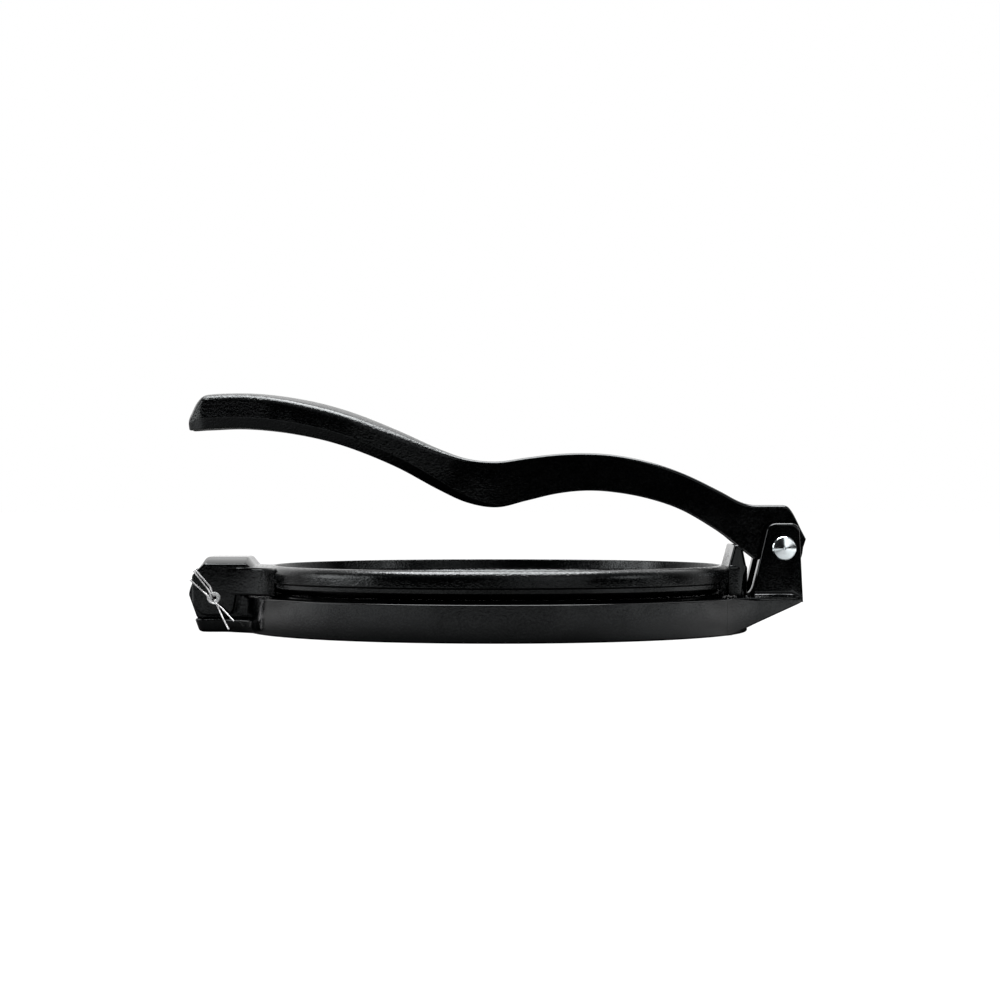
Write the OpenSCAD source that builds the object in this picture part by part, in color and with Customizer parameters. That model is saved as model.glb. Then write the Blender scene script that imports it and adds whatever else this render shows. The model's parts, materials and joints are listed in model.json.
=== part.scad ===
// Cast-iron tortilla press: two round plates joined by a hinge, and a pivoted lever that presses them together.
// Millimetres. The origin is the centre of the base disc on the worktop, with +Z up. The plates are hinged
// at -X, the lever turns at +X, and the press is drawn closed with its lever down.

/* [Base] */
// Diameter of the base disc
base_d = 203; // [170:1:260]
// Height of the base disc's wall
base_h = 14.2; // [12:0.1:20]
// Thickness of the base disc below its rim
base_t = 3.7; // [3:0.1:7]
// Thickness of the skirt round the hollow underside
skirt_t = 5; // [3:0.5:10]
// Width of the chamfer on the base's outer edges
base_edge = 1.2; // [0.4:0.1:2]
// Diameter of the two pressing faces
face_d = 183; // [150:1:184]
// Height of the base's raised pressing face
face_h = 1.2; // [0.6:0.1:2]

/* [Top plate] */
// Diameter over the rim of the top plate
plate_d = 189; // [187:1:194]
// Gap left between the two closed pressing faces
press_gap = 0.2; // [0.1:0.05:0.5]
// Thickness from the pressing face to the floor of the dish
plate_t = 5; // [3.5:0.1:8]
// Height of the pressing boss under the rim
boss_h = 2.2; // [1.5:0.1:3]
// Height of the rim above its own lower edge
rim_h = 8.7; // [7:0.1:14]
// Width of the rim at its top
rim_w = 4.4; // [3:0.1:6]
// Height of the bead round the top of the rim
bead_h = 6.2; // [4:0.1:7]
// Distance that the bead stands out from the rim
bead_out = 1.2; // [0.5:0.1:2]

/* [Hinge] */
// Distance of the hinge pin outside the base disc
hinge_out = 11.6; // [11:0.1:16]
// Height of the hinge pin above the worktop
hinge_z = 13.6; // [13.2:0.1:14.4]
// Outside diameter of the tubular hinge pin
hinge_pin_d = 5; // [4:0.1:6]
// Bore of the tubular hinge pin
hinge_pin_bore = 2.8; // [2.6:0.1:3]
// Distance that the hinge pin stands out of each cheek
hinge_pin_out = 0.8; // [0.3:0.1:1.5]
// Radial running clearance of the hinge pin in the base's knuckle
hinge_run = 0.06; // [0.02:0.01:0.1]
// Radius of the base's knuckle
knuckle_r = 11.6; // [9:0.1:12]
// Width of the base's knuckle
knuckle_w = 19; // [12:0.5:24]
// Thickness of each cheek of the top plate
cheek_t = 10.5; // [6:0.1:14]
// Gap on each side of the knuckle
cheek_gap = 0.5; // [0.2:0.1:1]
// Height of the cheeks' bridge above the hinge pin
bridge_up = 16.3; // [15.6:0.1:22]
// Depth of the cheeks below the hinge pin
cheek_down = 7.1; // [5:0.1:7.4]
// Reach of the cheeks beyond the hinge pin
cheek_reach = 8.6; // [7:0.1:10]
// Gap between the cheeks and the foot under them
foot_gap = 1.2; // [1:0.1:2]

/* [Lever] */
// Width of the lever's arm and head
lever_w = 18; // [14:0.5:24]
// Width of the grip
grip_w = 24; // [18:0.5:30]
// Distance from the pivot to the end of the grip
lever_reach = 240.2; // [200:0.1:280]
// Height of the top of the grip above the pivot
grip_up = 62.9; // [50:0.1:80]
// Thickness of the grip
grip_t = 14.4; // [12:0.1:18]
// Height of the top of the dip above the pivot
dip_up = 35.1; // [30:0.1:40]
// Thickness of the lever at the dip
dip_t = 18.7; // [14:0.1:22]
// Height of the top of the arch above the pivot
arch_up = 38.5; // [34:0.1:44]
// Thickness of the lever at the arch
arch_t = 15.3; // [12:0.1:18]
// Height of the lever's neck above the pivot
neck_up = 23.3; // [20:0.1:26]
// Height of the heel's flat top above the pivot
heel_up = 17.4; // [15:0.1:18.5]
// Radius of the lever's nose below the pivot
nose_r = 9.8; // [8:0.1:11]
// Distance that the nose reaches beyond the pivot
nose_front = 8.6; // [7.6:0.1:9.2]
// Distance that the heel reaches beyond the pivot
heel_out = 9.8; // [9:0.1:12]
// Slope of the pressing face under the lever
press_slope = 37.5; // [30:0.5:42]

/* [Pivot] */
// Distance of the lever's pivot outside the base disc
pivot_out = 13.7; // [12:0.1:18]
// Height of the lever's pivot above the worktop
pivot_z = 33.4; // [33:0.1:40]
// Thickness of each ear
ear_t = 8; // [5:0.1:10]
// Gap on each side of the lever between the ears
ear_gap = 0.5; // [0.2:0.1:1]
// Height of the ears above the pivot
ear_up = 10.1; // [8:0.1:13]
// Length of the base's nose beyond the pivot
toe_out = 7.7; // [7:0.1:9]
// Height of the nose's end above the worktop
toe_lift = 12; // [8:0.1:12.6]
// Diameter of the lever pin
pin_d = 6; // [4:0.1:8]
// Radial running clearance of the lever on its pin
pin_run = 0.06; // [0.02:0.01:0.1]
// Diameter of the lever pin's domed head
pin_head_d = 9.6; // [8.5:0.1:13]
// Height of the lever pin's domed head
pin_head_h = 2.4; // [1.5:0.1:4]
// Outside diameter of the washer under the pin's closed end
washer_d = 12; // [10:0.1:14]
// Thickness of that washer
washer_t = 1; // [0.6:0.1:2]
// Diameter of the pin's closed end
tail_d = 8.4; // [8.2:0.1:9.6]
// Height of the pin's closed end
tail_h = 1.6; // [1:0.1:3]

/* [Ridge] */
// Length of the pressing ridge across the press
ridge_l = 33; // [24:0.5:34]
// Width of the ridge's flat top
ridge_top_w = 1.6; // [1:0.1:3]
// Width of the tongue that carries the ridge
tongue_w = 34.6; // [32:0.1:38]
// Distance that the tongue stands out of the rim
tongue_out = 6.6; // [5:0.1:7]
// Gap between the lever and the ridge
contact_gap = 0.15; // [0.05:0.05:0.3]

/* [Tie wire] */
// Diameter of the tie wire
wire_d = 0.7; // [0.5:0.05:0.8]
// Gap between the wire and the casting it lies on
wire_gap = 0.1; // [0.05:0.05:0.3]
// Length of the wire's end that hangs lower
long_end = 15; // [8:0.5:25]
// Length of the wire's other end
short_end = 13.4; // [8:0.1:25]

/* [Hidden] */
$fn = 96;
disc_fn = 180;

black_iron = [0.11, 0.11, 0.12];
zinc = [0.78, 0.79, 0.8];

// The plate is never narrower than its boss and bead, and the hinge and the pivot are set out from the base or
// from the plate's tongue, whichever reaches further.
base_r = base_d / 2;
face_r = face_d / 2;
plate_r = max(plate_d / 2, face_r + bead_out + 1);
tongue_x = plate_r + tongue_out;
set_out = max(base_r, tongue_x + 0.4);
face_z = base_h + face_h;
boss_z = face_z + press_gap;
rim_z = boss_z + boss_h;
rim_top = rim_z + rim_h;
floor_z = boss_z + plate_t;

hinge_x = -(set_out + hinge_out);
cheek_in = knuckle_w / 2 + cheek_gap;
cheek_out = cheek_in + cheek_t;
cheek_low = hinge_z - cheek_down;
bridge_top = hinge_z + bridge_up;
foot_h = cheek_low - foot_gap;
knuckle_room = knuckle_r + cheek_gap;

pivot_x = set_out + pivot_out;
ear_in = lever_w / 2 + ear_gap;
ear_out = ear_in + ear_t;
ear_top = pivot_z + ear_up;
toe_x = pivot_x + toe_out;
heel_x = pivot_x + heel_out;

// A value between a and b, a at 0 and b at 1
function mix(a, b, t) = a + (b - a) * t;
// A smooth step from 0 at a to 1 at b
function ease(a, b, x) = let (t = max(0, min(1, (x - a) / (b - a)))) t * t * (3 - 2 * t);
// A Catmull-Rom curve between q and r, with p before and s after
function curve(p, q, r, s, t) =
    ((2 * q) + (r - p) * t + (2 * p - 5 * q + 4 * r - s) * t * t + (3 * q - p - 3 * r + s) * t * t * t) / 2;
// Points of the curve through a list of points, with a number of steps in each span
function through(pts, steps) = [
    for (i = [0:len(pts) - 2])
        for (k = [0:steps - 1])
            curve(pts[max(0, i - 1)], pts[i], pts[i + 1], pts[min(len(pts) - 1, i + 2)], k / steps),
    pts[len(pts) - 1]
];
function unit(v) = v / norm(v);
// An outline whose corners [x, y, r] are rounded by arcs of radius r
function rounded(corners, steps = 6) = [
    for (i = [0:len(corners) - 1])
        let (
            n = len(corners),
            c = [corners[i][0], corners[i][1]],
            before = corners[(i + n - 1) % n],
            after = corners[(i + 1) % n],
            u = unit([before[0], before[1]] - c),
            v = unit([after[0], after[1]] - c),
            half = acos(max(-1, min(1, u * v))) / 2,
            r = corners[i][2],
            centre = c + unit(u + v) * r / sin(half),
            from = c + u * r / tan(half) - centre,
            to = c + v * r / tan(half) - centre,
            turn = 180 - 2 * half,
            side = cross(from, to) > 0 ? 1 : -1
        )
        for (k = [0:(r > 0 ? steps : 0)])
            r > 0
                ? centre + [
                    from[0] * cos(turn * k / steps) - side * from[1] * sin(turn * k / steps),
                    side * from[0] * sin(turn * k / steps) + from[1] * cos(turn * k / steps)
                ]
                : c
];

// Stands an outline drawn in X and Z up, between two places along Y
module across(y0, y1) {
    translate([0, y1, 0]) rotate([90, 0, 0]) linear_extrude(y1 - y0) children();
}

// A round bar or bore along Y, centred on x and z
module bar(x, z, r, y0, y1) {
    translate([x, y1, z]) rotate([90, 0, 0]) cylinder(r = r, h = y1 - y0);
}

// Base: disc with a hollow underside, hinge foot and knuckle at -X, nose and two ears at +X
recess_r = base_r - skirt_t;
recess_z = base_h - base_t;
disc_outline = [
    [0, 0], [base_r - base_edge, 0], [base_r, base_edge], [base_r, base_h - base_edge],
    [base_r - base_edge, base_h], [face_r + face_h / 2, base_h], [face_r, face_z], [0, face_z]
];
// The foot and the nose run this far into the disc, and flare where they meet it
root = 12;
foot_half = cheek_out + 0.2;
foot_flare = 9;
// The knuckle and the foot share one slanted end: its place at height z
end_lean = 19.7;
function end_x(z) = hinge_x - (knuckle_r - 1) / cos(end_lean) + tan(end_lean) * (hinge_z - z);
foot_side = [
    [end_x(foot_h), foot_h], [end_x(0), 0], [-base_r + root, 0], [-base_r + root, foot_h]
];
foot_plan = rounded([
    [end_x(foot_h), -foot_half, 5], [hinge_x + 4, -foot_half, 0], [-base_r + 3.5, -foot_half - foot_flare, 0],
    [-base_r + root, -foot_half - foot_flare, 0], [-base_r + root, foot_half + foot_flare, 0],
    [-base_r + 3.5, foot_half + foot_flare, 0], [hinge_x + 4, foot_half, 0], [end_x(foot_h), foot_half, 5]
]);
nose_flare = 20;
nose_side = [
    [base_r - root, 0], [base_r - 9.5, 0], [toe_x, toe_lift], [toe_x, base_h], [base_r - root, base_h]
];
nose_half = ear_out + nose_flare;
nose_plan = rounded([
    [base_r - root, -nose_half - 8, 0], [base_r - 10.9, -nose_half - 8, 0], [base_r - 7, -nose_half, 25],
    [toe_x, -ear_out, 3], [toe_x, ear_out, 3],
    [base_r - 7, nose_half, 25], [base_r - 10.9, nose_half + 8, 0], [base_r - root, nose_half + 8, 0]
]);
ear_lean = 0.24;
// The ears' foot stays clear of the tongue
ear_foot_x = max(pivot_x - 8.7 - ear_lean * (pivot_z - base_h), tongue_x + 0.79);
ear_side = rounded([
    [base_r - 7.5, base_h - 3, 0], [base_r - 7.5, base_h, 0], [ear_foot_x, base_h, 6],
    [ear_foot_x + ear_lean * (ear_top - base_h), ear_top, 4], [toe_x - 1.5, ear_top, 3.5],
    [toe_x, base_h - 3, 0]
]);

module base() {
    color(black_iron) difference() {
        union() {
            rotate_extrude($fn = disc_fn) polygon(disc_outline);
            intersection() {
                across(-2 * foot_half, 2 * foot_half) polygon(foot_side);
                linear_extrude(foot_h) polygon(foot_plan);
            }
            bar(hinge_x, hinge_z, knuckle_r, -knuckle_w / 2, knuckle_w / 2);
            translate([hinge_x, -knuckle_w / 2, foot_h / 2])
                cube([root - base_r - hinge_x, knuckle_w, base_h - foot_h / 2]);
            intersection() {
                across(-2 * ear_out - nose_flare, 2 * ear_out + nose_flare) polygon(nose_side);
                linear_extrude(base_h) polygon(nose_plan);
            }
            for (side = [-1, 1])
                translate([0, side * (ear_in + ear_t / 2), 0])
                    across(-ear_t / 2, ear_t / 2) polygon(ear_side);
        }
        translate([0, 0, -1]) cylinder(r = recess_r, h = recess_z + 1, $fn = disc_fn);
        bar(hinge_x, hinge_z, hinge_pin_d / 2 + hinge_run, -knuckle_w, knuckle_w);
        across(-knuckle_w, knuckle_w) polygon([
            [end_x(hinge_z + 4), hinge_z + 4], [end_x(-1), -1], [hinge_x - 3 * knuckle_r, -1],
            [hinge_x - 3 * knuckle_r, hinge_z + 4]
        ]);
        bar(pivot_x, pivot_z, pin_d / 2, -2 * ear_out, 2 * ear_out);
    }
}

// Top plate: dished disc with a beaded rim, hinge cheeks and bridge at -X, tongue and ridge at +X
rim_in = plate_r - rim_w;
plate_outline = [
    [0, boss_z], [face_r - 1, boss_z], [face_r, boss_z + 1], [face_r, rim_z],
    [plate_r - bead_out - 0.5, rim_z], [plate_r - bead_out, rim_z + 0.5],
    [plate_r - bead_out, rim_top - bead_h], [plate_r, rim_top - bead_h + 0.8],
    [plate_r, rim_top - 1], [plate_r - 1, rim_top], [rim_in + 0.8, rim_top],
    [rim_in, rim_top - 0.8], [rim_in - 1, floor_z], [0, floor_z]
];
block_in = -rim_in - 0.9;
// The bridge's outer end slants from one of these corners to the other, counted from the pin's axis
slant_low = [-cheek_reach - 0.4, 8.8];
slant_high = [-4, bridge_up];
block_side = rounded([
    [hinge_x - cheek_reach, cheek_low, 6], [hinge_x + 7.6, cheek_low, 3.5],
    [hinge_x + 9, base_h + 0.9, 0], [-face_r - 1.6, base_h + 0.9, 0], [-face_r - 1.6, rim_z + 0.4, 0],
    [block_in, rim_z + 0.4, 0], [block_in, rim_top - 0.5, 0], [-plate_r - 3.1, rim_top + 0.2, 0],
    [-plate_r - 6, bridge_top, 1.5],
    [hinge_x + slant_high[0], bridge_top, 2], [hinge_x + slant_low[0], hinge_z + slant_low[1], 2]
]);
// The bridge's top falls away towards both sides
crown = [
    [-cheek_out, 0], [cheek_out, 0], [cheek_out, bridge_top - 2.7], [cheek_out - 6, bridge_top - 0.4],
    [cheek_out - 12, bridge_top], [-cheek_out + 12, bridge_top], [-cheek_out + 6, bridge_top - 0.4],
    [-cheek_out, bridge_top - 2.7]
];
web_plan = [
    [hinge_x + 8, -cheek_out], [-plate_r - 2, -cheek_out - 7], [block_in, -cheek_out - 10],
    [block_in, cheek_out + 10], [-plate_r - 2, cheek_out + 7], [hinge_x + 8, cheek_out]
];
tongue_low = base_h + 0.7;
tongue_top = rim_top + 0.5;
ridge_left = plate_r + 0.8;
ridge_right = ridge_left + ridge_top_w;
tongue_side = rounded([
    [rim_in + 0.9, rim_z + 0.4, 0], [face_r + 1.6, rim_z + 0.4, 0], [face_r + 1.6, tongue_low, 0],
    [tongue_x, tongue_low, 3], [tongue_x, tongue_top - 3, 2],
    [tongue_x - 1.8, tongue_top, 1], [rim_in + 0.9, tongue_top, 0]
]);
// Height of the lever's underside, less the gap over the ridge
function under(x) =
    lookup(x, [for (i = [0:len(slice_x) - 1]) [slice_x[i], slice_low[i]]]) - contact_gap / cos(press_slope);
function ridge_side() = [
    [ridge_left - 2.4, rim_z + 1], [tongue_x - 0.5, rim_z + 1], [tongue_x - 0.5, tongue_top - 3],
    [ridge_right + 1.7, under(ridge_right + 1.7)], [ridge_right, under(ridge_right)],
    [ridge_left, under(ridge_right)], [ridge_left - 2.4, rim_top - 0.6]
];

module top_plate() {
    color(black_iron) difference() {
        union() {
            rotate_extrude($fn = disc_fn) polygon(plate_outline);
            intersection() {
                across(-cheek_out, cheek_out) polygon(block_side);
                translate([hinge_x - 2 * cheek_reach, 0, 0])
                    rotate([90, 0, 90]) linear_extrude(4 * cheek_out) polygon(crown);
            }
            translate([0, 0, rim_top - bead_h]) linear_extrude(bead_h - 0.6) polygon(web_plan);
            translate([0, 0, base_h + 0.9]) linear_extrude(rim_top - bead_h - base_h) difference() {
                polygon(web_plan);
                circle(r = face_r + 1.6, $fn = disc_fn);
            }
            intersection() {
                across(-tongue_w / 2, tongue_w / 2) polygon(tongue_side);
                linear_extrude(2 * tongue_top) polygon(rounded([
                    [rim_in - tongue_out, -tongue_w / 2, 0], [tongue_x, -tongue_w / 2, 7],
                    [tongue_x, tongue_w / 2, 7], [rim_in - tongue_out, tongue_w / 2, 0]
                ]));
            }
            across(-ridge_l / 2, ridge_l / 2) polygon(ridge_side());
        }
        bar(hinge_x, hinge_z, knuckle_room, -cheek_in, cheek_in);
        bar(hinge_x, hinge_z, hinge_pin_d / 2, -2 * cheek_out, 2 * cheek_out);
    }
}

// Lever: upright slices from the end of the grip to the heel. Each row is a place along the reach, counted
// from the pivot, with the height of the top above the pivot and the thickness there.
arm = [
    [1, grip_up - 9.8, 5.6], [0.9917, grip_up - 4.9, 10.4], [0.979, grip_up - 1.4, grip_t - 0.8],
    [0.9625, grip_up - 0.4, grip_t], [0.921, grip_up, grip_t], [0.879, grip_up - 0.3, grip_t + 0.2],
    [0.829, mix(dip_up, grip_up, 0.939), grip_t + 0.3], [0.771, mix(dip_up, grip_up, 0.838), grip_t + 0.4],
    [0.7127, mix(dip_up, grip_up, 0.683), grip_t + 0.6], [0.646, mix(dip_up, grip_up, 0.45), grip_t + 0.9],
    [0.5795, mix(dip_up, grip_up, 0.191), mix(grip_t, dip_t, 0.54)],
    [0.5295, mix(dip_up, grip_up, 0.04), mix(grip_t, dip_t, 0.82)], [0.4796, dip_up, dip_t],
    [0.4296, mix(dip_up, arch_up, 0.47), mix(dip_t, arch_t, 0.33)],
    [0.3797, mix(dip_up, arch_up, 0.88), mix(dip_t, arch_t, 0.74)], [0.3297, arch_up, arch_t],
    [0.2798, mix(neck_up, arch_up, 0.947), arch_t - 0.2], [0.2215, mix(neck_up, arch_up, 0.763), arch_t - 0.4],
    [0.1632, mix(neck_up, arch_up, 0.447), arch_t - 0.4]
];
// Height of the lever's pressing face at x
function press_line(x) = pivot_z - (nose_r + sin(press_slope) * (x - pivot_x)) / cos(press_slope);
// Places between the neck and the heel, counted from the pivot, with the height of the top above the heel
neck = [[-25.2, neck_up - heel_up], [-19, 2.5], [-15, 0.8], [-11, 0]];
nose_turn = pivot_x - nose_r * sin(press_slope);
nose_end = pivot_x + nose_front - 0.35;
heel_corner = pivot_x + 2.1;
heel_end_up = 4;
// Height of the lever's underside beyond the arm: the pressing face, the round nose and the heel's end
function head_low(x) =
    x < nose_turn ? press_line(x)
    : x < pivot_x ? pivot_z - sqrt(pow(nose_r, 2) - pow(x - pivot_x, 2))
    : x < nose_end ? pivot_z - nose_r * sqrt(1 - pow((x - pivot_x) / nose_front, 2))
    : pivot_z + mix(0, heel_end_up - 0.6, (x - nose_end) / (heel_x - nose_end));
// Height of the lever's top on the heel, which is flat and then falls in a bulging line to the heel's end
function head_high(x) =
    pivot_z + mix(heel_end_up, heel_up, lookup(
        (x - heel_corner) / (heel_x - heel_corner), [[0, 1], [0.16, 0.925], [0.42, 0.68], [0.68, 0.35], [1, 0]]
    ));
head_x = concat(
    [for (x = [-9, -6, -5, -4, -3, -2, -1, 0, 1]) pivot_x + x],
    [for (s = [0:0.2:1]) heel_corner + s * (heel_x - 0.5 - heel_corner)],
    [heel_x - 0.3, heel_x - 0.1, heel_x]
);
slice_x = concat(
    through(concat([for (row = arm) pivot_x - row[0] * lever_reach], [for (n = neck) pivot_x + n[0]]), 3), head_x
);
slice_top = concat(
    through(concat([for (row = arm) pivot_z + row[1]], [for (n = neck) pivot_z + heel_up + n[1]]), 3),
    [for (x = head_x) head_high(x)]
);
slice_low = concat(
    through(concat([for (row = arm) pivot_z + row[1] - row[2]], [for (n = neck) press_line(pivot_x + n[0])]), 3),
    [for (x = head_x) head_low(x)]
);
// How far along the lever x is, 0 at the pivot and 1 at the end of the grip
function along(x) = (pivot_x - x) / lever_reach;
grip_end_in = 4.5;
function half_width(x) =
    mix(lever_w / 2, grip_w / 2, ease(0.5, 0.72, along(x)))
    - grip_end_in * pow(max(0, along(x) - 0.974) / 0.026, 1.3);
// One upright slice: a top that is crowned on the grip and flat on the arm, sides, and chamfered lower edges
crown_at = [-1, -0.92, -0.75, -0.4, 0, 0.4, 0.75, 0.92, 1];
function slice(x, top, low) =
    let (
        w = half_width(x),
        f = along(x),
        drop = min(mix(0.8, 2.8, ease(0.5, 0.68, f)), (top - low) / 3),
        bend = mix(6, 2, ease(0.5, 0.68, f)),
        rise = min(mix(0.9, 4.4, ease(0.42, 0.62, f)), (top - low) / 3),
        inset = mix(0.9, 2.1, ease(0.42, 0.62, f))
    )
    concat(
        [for (t = crown_at) [x, w * t, top - drop * pow(abs(t), bend)]],
        [[x, w, low + rise], [x, w - inset, low], [x, inset - w, low], [x, -w, low + rise]]
    );
// A closed skin through rings of points, the first and last ring being its ends
module skin(rings) {
    m = len(rings[0]);
    n = len(rings);
    polyhedron(
        points = [for (ring = rings) each ring],
        faces = concat(
            [for (i = [0:n - 2]) for (j = [0:m - 1]) [i * m + j, i * m + (j + 1) % m, (i + 1) * m + (j + 1) % m]],
            [for (i = [0:n - 2]) for (j = [0:m - 1]) [i * m + j, (i + 1) * m + (j + 1) % m, (i + 1) * m + j]],
            [for (j = [1:m - 2]) [0, j + 1, j]],
            [for (j = [1:m - 2]) [(n - 1) * m, (n - 1) * m + j, (n - 1) * m + j + 1]]
        )
    );
}

module lever() {
    color(black_iron) difference() {
        skin([for (i = [0:len(slice_x) - 1]) slice(slice_x[i], slice_top[i], slice_low[i])]);
        bar(pivot_x, pivot_z, pin_d / 2 + pin_run, -lever_w, lever_w);
    }
}

// Lever pin: domed head on the near ear, plain shank, and an end closed over the washer on the far ear
head_rim = 0.7;
pin_outline = concat(
    [[0, 0], [pin_head_d / 2, 0], [pin_head_d / 2, -head_rim]],
    [for (a = [15:15:90]) [pin_head_d / 2 * cos(a), -head_rim - (pin_head_h - head_rim) * sin(a)]]
);
tail_outline = [
    [0, 0], [tail_d / 2, 0], [tail_d / 2, tail_h * 0.5], [tail_d / 2 - 0.8, tail_h * 0.9],
    [tail_d / 2 - 1.8, tail_h], [0, tail_h]
];
washer_run = 0.1;

module lever_pin() {
    color(zinc) translate([pivot_x, 0, pivot_z]) rotate([-90, 0, 0]) {
        translate([0, 0, -ear_out]) {
            cylinder(r = pin_d / 2, h = 2 * ear_out + washer_t);
            rotate_extrude() polygon(pin_outline);
        }
        translate([0, 0, ear_out + washer_t]) rotate_extrude() polygon(tail_outline);
    }
}

module lever_pin_washer() {
    color(zinc) difference() {
        bar(pivot_x, pivot_z, washer_d / 2, ear_out, ear_out + washer_t);
        bar(pivot_x, pivot_z, pin_d / 2 + washer_run, ear_out - 1, ear_out + washer_t + 1);
    }
}

// Hinge pin: a tube pressed through both cheeks, free to turn in the knuckle
hinge_pin_end = cheek_out + hinge_pin_out;

module hinge_pin() {
    color(zinc) difference() {
        bar(hinge_x, hinge_z, hinge_pin_d / 2, -hinge_pin_end, hinge_pin_end);
        bar(hinge_x, hinge_z, hinge_pin_bore / 2, -hinge_pin_end - 1, hinge_pin_end + 1);
    }
}

// Tie wire: one wire that goes three times through the tubular pin and round the bridge's end, with both
// ends left hanging at the near side. Places are counted from the pin's axis.
lay = wire_d / 2 + wire_gap;
side_y = cheek_out + lay;
mouth_y = hinge_pin_end + lay;
over_y = mouth_y + wire_d + 0.1;
// Where each turn passes over the bridge's slanted end and clear of the knuckle, in X and Z
slant_run = slant_high - slant_low;
slant_out = unit([-slant_run[1], slant_run[0]]);
function past_knuckle(p) = p * max(1, (knuckle_r + lay) / norm(p));
turn_at = [
    past_knuckle(mix(slant_low, slant_high, 0.32) + lay * slant_out),
    past_knuckle(mix(slant_low, slant_high, 0.19) + lay * slant_out),
    past_knuckle([slant_low[0] - lay, 0.82 * slant_low[1]])
];
// Directions in which the turns reach the pin's mouth, and places of the three passes in its bore
rim_turn = [105, 128, 152];
pass_turn = [300, 80, 190];
pass_r = (hinge_pin_bore - wire_d) / 2 - 0.3;
rim_r = hinge_pin_d / 2 + 0.6;
function spot(turn, r, y) = [r * cos(turn), y, r * sin(turn)];
function place(xz, y) = [xz[0], y, xz[1]];
// One turn, from the far mouth round the bridge's end to the near mouth
function loop(k) = [
    spot(pass_turn[k], pass_r, mouth_y - 1.6), spot(pass_turn[k], pass_r, k == 0 ? over_y : mouth_y),
    spot(rim_turn[k], rim_r, k == 0 ? over_y : mouth_y), spot(rim_turn[k], rim_r + 1.8, side_y + 0.1),
    place(turn_at[k] * 0.985, side_y), place(turn_at[k], side_y - 0.2),
    place(turn_at[k], 0), place(turn_at[k], 0.2 - side_y), place(turn_at[k] * 0.985, -side_y),
    spot(rim_turn[k], rim_r + 1.8, -side_y - 0.1), spot(rim_turn[k], rim_r, k == 2 ? -over_y : -mouth_y)
];
function enter(k) = [spot(pass_turn[k], pass_r, -mouth_y), spot(pass_turn[k], pass_r, 1.6 - mouth_y)];
// A place on a hanging end, as a direction times the end's length, counted from the near mouth
function hang(length, way) = [0, -mouth_y, 0] + length * way;
tie_route = concat(
    [
        hang(long_end, [0.44, -0.383, -0.813]), hang(long_end, [0.24, -0.19, -0.467]),
        [1.5, -mouth_y - 0.2, -rim_r]
    ],
    enter(0), loop(0), enter(1), loop(1), enter(2), loop(2),
    [
        [1.6, -over_y, -1.8], [3.2, -over_y - 0.6, -3.6], hang(short_end, [0.448, -0.257, -0.478]),
        hang(short_end, [0.642, -0.392, -0.664])
    ]
);
// Directions along the route, and a ring of the wire at each of its points
function heading(i) =
    unit(tie_route[min(i + 1, len(tie_route) - 1)] - tie_route[max(i - 1, 0)]);
function carried(i, n) =
    let (m = unit(n - heading(i) * (n * heading(i))))
    i == len(tie_route) - 1 ? [m] : concat([m], carried(i + 1, m));
wire_sides = 8;

module tie_wire() {
    across_wire = carried(0, [0, 0, 1]);
    color(zinc) translate([hinge_x, 0, hinge_z])
        skin([
            for (i = [0:len(tie_route) - 1])
                let (u = across_wire[i], v = cross(heading(i), u))
                [
                    for (k = [0:wire_sides - 1])
                        let (a = -360 * k / wire_sides)
                        tie_route[i] + (u * cos(a) + v * sin(a)) * wire_d / 2
                ]
        ]);
}

base();
top_plate();
lever();
lever_pin();
lever_pin_washer();
hinge_pin();
tie_wire();
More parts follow.
